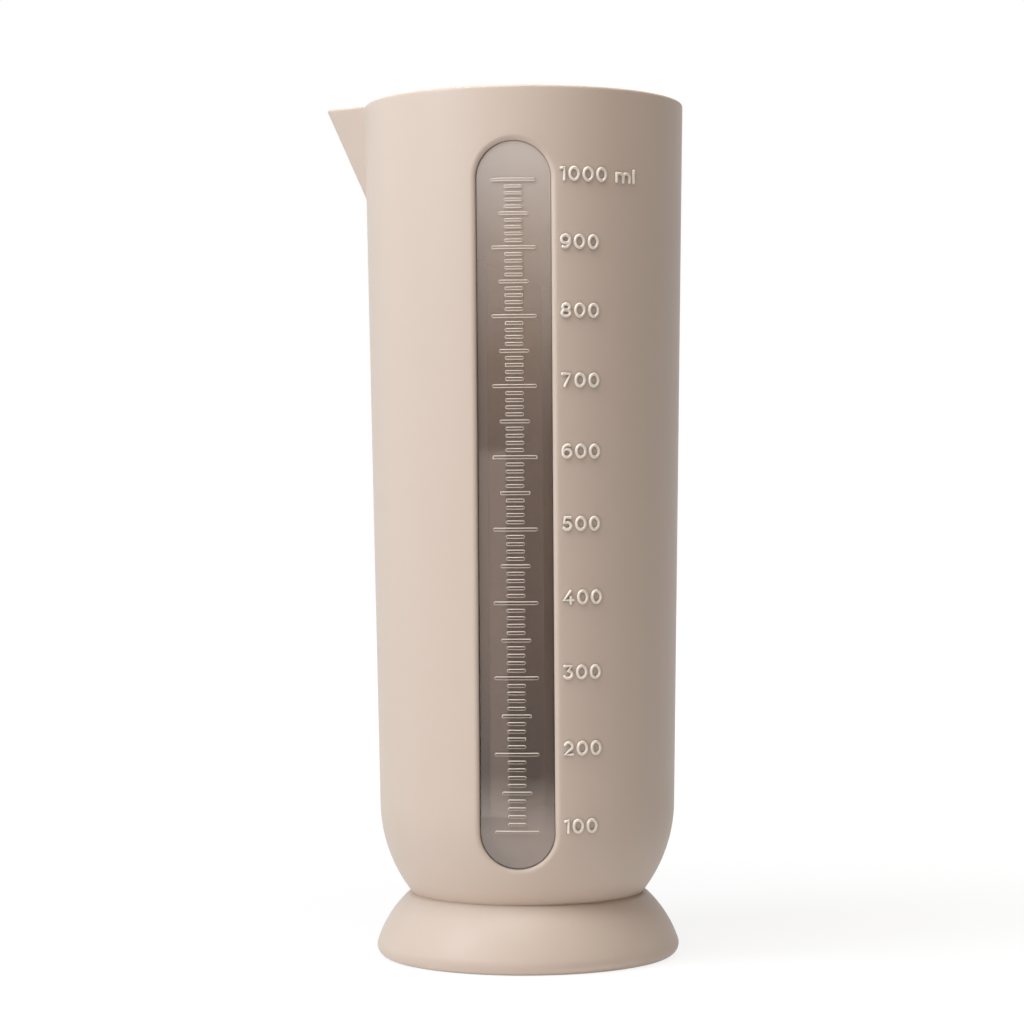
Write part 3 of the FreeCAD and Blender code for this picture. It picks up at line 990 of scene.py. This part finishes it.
# Painted shade: ambient occlusion darkens the colour close round the figures, and at the window's edge
# on its left and below. Along an axis it sets in at the first place and is full at the second.
PAINTED_SHADE_RIGHT = ("X", 11.6 * MM, 12.0 * MM)
PAINTED_SHADE_LEFT = ("X", 0.0, -6.0 * MM)
PAINTED_SHADE_LOW = ("Z", 42.0 * MM, 34.0 * MM)
PAINTED_SHADE_LIMIT = ("Z", 22.0 * MM, 26.0 * MM)    # none on the foot
GRAIN_SIZE = 0.35 * MM          # the real 0.1 mm drawn coarser, so that it shows
GRAIN_DEPTH = 0.05 * MM
FLOW_SIZE = 38.0 * MM           # of the clouds in the pigment


def moulded_polypropylene(name, pigment, roughness, grain, painted_shade_level):
    """Injection-moulded polypropylene: a satin face from a spark-eroded mould, with a fine even
    grain, faint flow clouds in the pigment and a soft broad highlight. The painted shade level is how
    dark the painted shade in corners makes the colour."""
    tree = new_material(name)
    place = add_node(tree, "TexCoord").outputs["Object"]
    grit = add_node(tree, "TexNoise", Vector=place, Scale=1 / GRAIN_SIZE, Detail=2.0, Roughness=0.6)
    clouds = add_node(tree, "TexNoise", Vector=place, Scale=1 / FLOW_SIZE, Detail=2.0)
    fade = add_node(tree, "MapRange", Value=clouds.outputs["Fac"], To_Min=0.985, To_Max=1.015)
    # Painted shade: corners darken, down to the painted shade level, where the mask allows
    corner = add_node(tree, "AmbientOcclusion", {"samples": 8}, Distance=1.1 * MM)
    shade = add_node(
        tree, "MapRange", Value=corner.outputs["AO"], From_Min=0.5, From_Max=0.95, To_Min=painted_shade_level,
    )
    at = add_node(tree, "SeparateXYZ", Vector=place).outputs
    right, left, low, limit = (
        add_node(tree, "MapRange", Value=at[axis], From_Min=start, From_Max=full)
        for axis, start, full in (PAINTED_SHADE_RIGHT, PAINTED_SHADE_LEFT, PAINTED_SHADE_LOW, PAINTED_SHADE_LIMIT)
    )
    either = add_node(tree, "Math", {"operation": "MAXIMUM"}, _0=right, _1=left)
    painted_shade_zone = add_node(tree, "Math", {"operation": "MAXIMUM"}, _0=either, _1=low)
    painted_shade_mask = add_node(tree, "Math", {"operation": "MULTIPLY"}, _0=painted_shade_zone, _1=limit)
    painted_shade_factor = add_node(tree, "Mix", {"data_type": "FLOAT"}, _0=painted_shade_mask, _2=1.0, _3=shade)
    both = add_node(tree, "Math", {"operation": "MULTIPLY"}, _0=fade, _1=painted_shade_factor)
    tint = add_node(tree, "VectorMath", {"operation": "SCALE"}, _0=pigment[:3], Scale=both)
    bump = add_node(tree, "Bump", Height=grit.outputs["Fac"], Strength=grain, Distance=GRAIN_DEPTH)
    shader = add_node(
        tree, "BsdfPrincipled", Base_Color=tint, Roughness=roughness, IOR=1.49, Normal=bump,
    )
    add_node(tree, "OutputMaterial", Surface=shader)


def strip_places(tree):
    """Place on the strip, its part across and its height as a share, 0 at the foot and 1 on top."""
    place = add_node(tree, "TexCoord").outputs["Object"]
    at = add_node(tree, "SeparateXYZ", Vector=place).outputs
    share = add_node(tree, "MapRange", Value=at["Z"], From_Min=WINDOW_LOW, From_Max=WINDOW_HIGH)
    return place, at["X"], share


def set_stops(ramp, stops):
    """Sets a ramp's stops, as (place, value or hex colour), and gives its colour output."""
    elements = ramp.color_ramp.elements
    while len(elements) < len(stops):
        elements.new(1.0)
    for element, (place, value) in zip(elements, stops):
        element.position = place
        element.color = linear(value) if isinstance(value, str) else (value, value, value, 1)
    return ramp.outputs["Color"]


# How the strip's painted light and shade change from its foot to its top, as (height share, value or colour)
SMOKE_PAINTED_SHADE = [(0.0, 0.54), (0.13, 0.5), (0.34, 0.61), (0.6, 0.45), (0.8, 0.53), (1.0, 0.95)]
PAINTED_END_LIGHT_RAMP = [(0.0, 0.5), (0.05, 0.48), (0.13, 0.0), (0.45, 0.0), (0.7, 0.06), (0.87, 0.4), (1.0, 1.0)]
WELD_PAINTED_LIGHT_LEFT = [(0.0, "#3C322D"), (0.14, "#5C3A2A"), (0.34, "#8F755F"), (0.65, "#B5A599"), (1.0, "#D8C4B0")]
WELD_PAINTED_LIGHT_RIGHT = [
    (0.0, "#E0D6D2"), (0.06, "#8C6F66"), (0.34, "#7A5E42"),
    (0.6, "#A28A74"), (0.8, "#E0D8D0"), (1.0, "#F5F2EE"),
]
PAINTED_END_LIGHT_SPREAD = 8.0 * MM          # on each side of the middle, the width over which the painted end light thins
WELD_SPREAD = 5.0 * MM          # the same, over which the weld's painted light and shade change
CLOUD_SIZE = 9.0 * MM
COPOLYESTER_IOR = 1.5


def clear_copolyester(name):
    """Injection-moulded clear copolyester: glossy and a little smoky. Painted light and shade: the tint is
    darkened by height, most in the middle, and a milky layer at both ends makes them lighter. It is thinner
    on the left."""
    colours = bpy.context.scene.pitcher_colours
    tree = new_material(name)
    place, across, share = strip_places(tree)
    cloud = add_node(tree, "TexNoise", Vector=place, Scale=1 / CLOUD_SIZE, Detail=3.0)
    rough = add_node(tree, "MapRange", Value=cloud.outputs["Fac"], To_Min=0.03, To_Max=0.06)
    # Painted light and shade: darker in the middle of the strip, milkier and lighter at its ends
    painted_shade_tint = set_stops(add_node(tree, "ValToRGB", Fac=share), SMOKE_PAINTED_SHADE)
    painted_end_light = set_stops(add_node(tree, "ValToRGB", Fac=share), PAINTED_END_LIGHT_RAMP)
    tint = add_node(
        tree, "Mix", {"data_type": "RGBA", "blend_type": "MULTIPLY"}, _0=1.0, _6=colours.clear, _7=painted_shade_tint,
    )
    clear = add_node(
        tree, "BsdfPrincipled", Base_Color=tint.outputs[2], Transmission_Weight=1.0,
        Roughness=rough, IOR=COPOLYESTER_IOR,
    )
    thin = add_node(
        tree, "MapRange", Value=across, From_Min=-PAINTED_END_LIGHT_SPREAD, From_Max=PAINTED_END_LIGHT_SPREAD, To_Min=0.75,
    )
    painted_end_light_colour = add_node(tree, "VectorMath", {"operation": "SCALE"}, _0=colours.painted_end_light[:3], Scale=thin)
    painted_end_light_shader = add_node(tree, "BsdfPrincipled", Base_Color=painted_end_light_colour, Roughness=rough, IOR=COPOLYESTER_IOR)
    mix = add_node(tree, "MixShader", Fac=painted_end_light, _1=clear, _2=painted_end_light_shader)
    add_node(tree, "OutputMaterial", Surface=mix)


def welded_copolyester_painted_light(name):
    """Back of the strip's border, where it is welded to the ledge: matt and opaque, with painted light and
    shade that runs by height and is darker on the left, where shadow falls, and lighter on the right, where
    light falls."""
    tree = new_material(name)
    _, across, share = strip_places(tree)
    side = add_node(tree, "MapRange", Value=across, From_Min=-WELD_SPREAD, From_Max=WELD_SPREAD)
    left, right = (
        set_stops(add_node(tree, "ValToRGB", Fac=share), stops) for stops in (WELD_PAINTED_LIGHT_LEFT, WELD_PAINTED_LIGHT_RIGHT)
    )
    tint = add_node(tree, "Mix", {"data_type": "RGBA"}, _0=side, _6=left, _7=right)
    shader = add_node(tree, "BsdfPrincipled", Base_Color=tint.outputs[2], Roughness=0.7)
    add_node(tree, "OutputMaterial", Surface=shader)


def frosted_copolyester(name):
    """Edges of the marks in the clear copolyester, left frosted by the mould's engraved grooves. Painted
    highlight: the near-white frost is strongest on edges facing down near the top and up near the foot, where
    they catch light. They are made more metallic towards the top, so that they reflect more there."""
    colours = bpy.context.scene.pitcher_colours
    tree = new_material(name)
    _, _, share = strip_places(tree)
    face = add_node(tree, "NewGeometry").outputs["Normal"]
    tilt = add_node(tree, "SeparateXYZ", Vector=face).outputs["Z"]
    upward = add_node(tree, "MapRange", Value=share, To_Min=-1.0)
    lean = add_node(tree, "Math", {"operation": "MULTIPLY"}, _0=tilt, _1=upward)
    # Painted highlight: the near-white frost goes on the edges that would catch light at each height
    frost_and_painted_highlight = add_node(
        tree, "MapRange", Value=lean, From_Min=-0.1, From_Max=0.8, To_Min=0.78, To_Max=0.05,
    )
    clear = add_node(
        tree, "BsdfPrincipled", Base_Color=colours.clear, Transmission_Weight=0.95,
        Roughness=0.12, IOR=COPOLYESTER_IOR,
    )
    gleam = add_node(tree, "MapRange", Value=share, From_Min=0.5, From_Max=0.85, To_Max=0.55)
    matt = add_node(tree, "BsdfPrincipled", Base_Color=colours.figures, Metallic=gleam, Roughness=0.4)
    mix = add_node(tree, "MixShader", Fac=frost_and_painted_highlight, _1=clear, _2=matt)
    add_node(tree, "OutputMaterial", Surface=mix)


def background_rays(tree):
    """1 for rays that show the background: the camera's own, and those through or off a gloss face."""
    ray = add_node(tree, "LightPath").outputs
    through = add_node(
        tree, "Math", {"operation": "MAXIMUM"}, _0=ray["Is Camera Ray"], _1=ray["Is Transmission Ray"],
    )
    return add_node(tree, "Math", {"operation": "MAXIMUM"}, _0=through, _1=ray["Is Glossy Ray"])


SHADOW_SHARE = 0.2              # how much of the sweep's own light and shade shows beside the foot
SHADOW_NEAR = 100 * MM          # from the jug's axis, where that share starts to fade
SHADOW_FAR = 500 * MM           # where none of it is left
SWEEP_GLOW = 1.08               # just over 1, so that the unshaded sweep comes out white


def studio_floor(name):
    """Matt white sweep. The camera sees it white, with the pitcher's faint shadow beside the foot."""
    colours = bpy.context.scene.pitcher_colours
    tree = new_material(name)
    paper = add_node(tree, "BsdfDiffuse", Color=colours.floor)
    glow = add_node(tree, "Emission", Color=colours.floor, Strength=SWEEP_GLOW)
    place = add_node(tree, "TexCoord").outputs["Object"]
    away = add_node(tree, "VectorMath", {"operation": "LENGTH"}, _0=place).outputs["Value"]
    veil = add_node(
        tree, "MapRange", Value=away, From_Min=SHADOW_NEAR, From_Max=SHADOW_FAR, To_Min=1 - SHADOW_SHARE,
    )
    share = add_node(tree, "Math", {"operation": "MULTIPLY"}, _0=background_rays(tree), _1=veil)
    mix = add_node(tree, "MixShader", Fac=share, _1=paper, _2=glow)
    add_node(tree, "OutputMaterial", Surface=mix)


def make_materials():
    colours = bpy.context.scene.pitcher_colours
    # The jug's colour carries painted shade round the figures and at the window's edge
    moulded_polypropylene("Moulded polypropylene", colours.body, roughness=0.45, grain=0.25, painted_shade_level=0.35)
    # The figures' near-white colour is painted light on the jug's own plastic
    moulded_polypropylene("Polished polypropylene", colours.figures, roughness=0.32, grain=0.05, painted_shade_level=1.0)
    frosted_copolyester("Frosted copolyester")
    welded_copolyester_painted_light("Welded copolyester")
    clear_copolyester("Clear copolyester")
    studio_floor("White sweep")


# ---- Stage ---------------------------------------------------------------------------------------

CAMERA_TURN = math.radians(3.8)     # the camera stands this far round from the strip's middle
CAMERA_DISTANCE = 812.8 * MM        # from the jug's axis
CAMERA_HEIGHT = 126.2 * MM
CAMERA_YAW = -0.00474               # radians off the axis
CAMERA_PITCH = 0.0022
CAMERA_ROLL = -0.0056
LENS = 101.3                        # millimetres, on a 36 mm sensor
FLOOR_SIZE = 6.0                    # metres


def add_camera():
    data = bpy.data.cameras.new("Camera")
    data.lens = LENS
    data.sensor_width = 36.0
    data.clip_start = 0.01
    data.clip_end = 20.0
    camera = bpy.data.objects.new("Camera", data)
    bpy.context.collection.objects.link(camera)
    yaw = CAMERA_YAW - CAMERA_TURN
    along = math.cos(CAMERA_PITCH)
    forward = Vector((math.sin(yaw) * along, math.cos(yaw) * along, -math.sin(CAMERA_PITCH)))
    level = forward.cross(Vector((0, 0, 1))).normalized()
    upright = level.cross(forward)
    right = level * math.cos(CAMERA_ROLL) + upright * math.sin(CAMERA_ROLL)
    up = right.cross(forward)
    turn = Matrix((right, up, -forward)).transposed().to_4x4()
    away = Vector((math.sin(CAMERA_TURN), -math.cos(CAMERA_TURN), 0)) * CAMERA_DISTANCE
    camera.matrix_world = Matrix.Translation(away + Vector((0, 0, CAMERA_HEIGHT))) @ turn
    bpy.context.scene.camera = camera


def add_lamp(name, azimuth, elevation, distance, size, watts, code):
    """A softbox that faces the pitcher. Azimuth is from the camera's side, in degrees to the right."""
    data = bpy.data.lights.new(name, "AREA")
    data.shape = "RECTANGLE"
    data.size, data.size_y = size
    data.energy = watts
    data.color = linear(code)[:3]
    lamp = bpy.data.objects.new(name, data)
    lamp.visible_camera = False
    bpy.context.collection.objects.link(lamp)
    a = math.radians(azimuth) + CAMERA_TURN
    e = math.radians(elevation)
    back = Vector((math.sin(a) * math.cos(e), -math.cos(a) * math.cos(e), math.sin(e)))
    lamp.location = Vector((0, 0, RIM_HEIGHT / 2)) + back * distance
    lamp.rotation_euler = (-back).to_track_quat("-Z", "Y").to_euler()


def make_world():
    world = bpy.data.worlds.new("Studio")
    bpy.context.scene.world = world
    world.use_nodes = True
    tree = world.node_tree
    tree.nodes.clear()
    ambient = add_node(tree, "Background", Color=linear("#FFEDE0"), Strength=0.03)
    white = add_node(tree, "Background", Color=linear("#FFFFFF"), Strength=1.0)
    mix = add_node(tree, "MixShader", Fac=background_rays(tree), _1=ambient, _2=white)
    add_node(tree, "OutputWorld", Surface=mix)


def make_stage():
    pick()
    bpy.ops.mesh.primitive_plane_add(size=FLOOR_SIZE, location=(0, 0, 0))
    floor = bpy.context.object
    floor.name = "floor"
    floor.data.materials.append(bpy.data.materials["White sweep"])
    make_world()
    add_lamp("Key softbox", -60, 32, 1.2, (0.42, 0.6), 6.4, "#E9F5FF")
    add_lamp("Rim softbox", -110, 12, 1.2, (0.42, 1.1), 1.6, "#FFFBF7")
    add_lamp("Right softbox", 100, 12, 1.2, (0.42, 1.1), 0.5, "#FFF5EB")
    add_lamp("Front softbox", -26.9, -9.3, 0.3, (0.14, 0.134), 0.095, "#FFEEE2")
    add_lamp("High softbox", -36, 62, 0.6, (0.3, 0.3), 1.33, "#F1FAFF")
    add_lamp("Top softbox", 10, 72, 0.5, (0.4, 0.4), 1.27, "#FFF1E3")
    add_camera()
    bpy.context.scene.view_settings.view_transform = "Standard"


# ---- Operators, panel and registration -----------------------------------------------------------

class PITCHER_OT_materials(bpy.types.Operator):
    """Make the pitcher's materials"""
    bl_idname = "pitcher.materials"
    bl_label = "Materials"

    def execute(self, context):
        make_materials()
        return {"FINISHED"}


class PITCHER_OT_vessel(bpy.types.Operator):
    """Model the jug with its spout, its window and the frame behind it"""
    bl_idname = "pitcher.vessel"
    bl_label = "Vessel"

    def execute(self, context):
        make_vessel()
        return {"FINISHED"}


class PITCHER_OT_sight_strip(bpy.types.Operator):
    """Model the clear strip with its raised marks"""
    bl_idname = "pitcher.sight_strip"
    bl_label = "Sight strip"

    def execute(self, context):
        make_sight_strip()
        return {"FINISHED"}


class PITCHER_OT_figures(bpy.types.Operator):
    """Model the raised figures beside the strip"""
    bl_idname = "pitcher.figures"
    bl_label = "Figures"

    def execute(self, context):
        make_figures()
        return {"FINISHED"}


class PITCHER_OT_foot_ring(bpy.types.Operator):
    """Model the flared foot ring with its collar and ribs"""
    bl_idname = "pitcher.foot_ring"
    bl_label = "Foot ring"

    def execute(self, context):
        make_foot_ring()
        return {"FINISHED"}


class PITCHER_OT_stage(bpy.types.Operator):
    """Set up the floor, the lamps, the world and the camera"""
    bl_idname = "pitcher.stage"
    bl_label = "Stage"

    def execute(self, context):
        make_stage()
        return {"FINISHED"}


OPERATORS = (
    PITCHER_OT_materials,
    PITCHER_OT_vessel,
    PITCHER_OT_sight_strip,
    PITCHER_OT_figures,
    PITCHER_OT_foot_ring,
    PITCHER_OT_stage,
)


class PITCHER_PT_panel(bpy.types.Panel):
    """Lists the pitcher's pieces, sizes and colours"""
    bl_idname = "PITCHER_PT_panel"
    bl_label = "Formula pitcher"
    bl_space_type = "VIEW_3D"
    bl_region_type = "UI"
    bl_category = "Pitcher"

    def draw(self, context):
        for operator in OPERATORS:
            self.layout.operator(operator.bl_idname)
        for group in (context.scene.pitcher_sizes, context.scene.pitcher_colours):
            for name in type(group).__annotations__:
                self.layout.prop(group, name)


CLASSES = (PitcherSizes, PitcherColours, *OPERATORS, PITCHER_PT_panel)


def register():
    for item in CLASSES:
        bpy.utils.register_class(item)
    bpy.types.Scene.pitcher_sizes = PointerProperty(type=PitcherSizes)
    bpy.types.Scene.pitcher_colours = PointerProperty(type=PitcherColours)


def unregister():
    del bpy.types.Scene.pitcher_colours
    del bpy.types.Scene.pitcher_sizes
    for item in reversed(CLASSES):
        bpy.utils.unregister_class(item)


def main():
    register()
    bpy.ops.pitcher.materials()
    bpy.ops.pitcher.vessel()
    bpy.ops.pitcher.sight_strip()
    bpy.ops.pitcher.figures()
    bpy.ops.pitcher.foot_ring()
    bpy.ops.pitcher.stage()


if __name__ == "__main__":
    main()
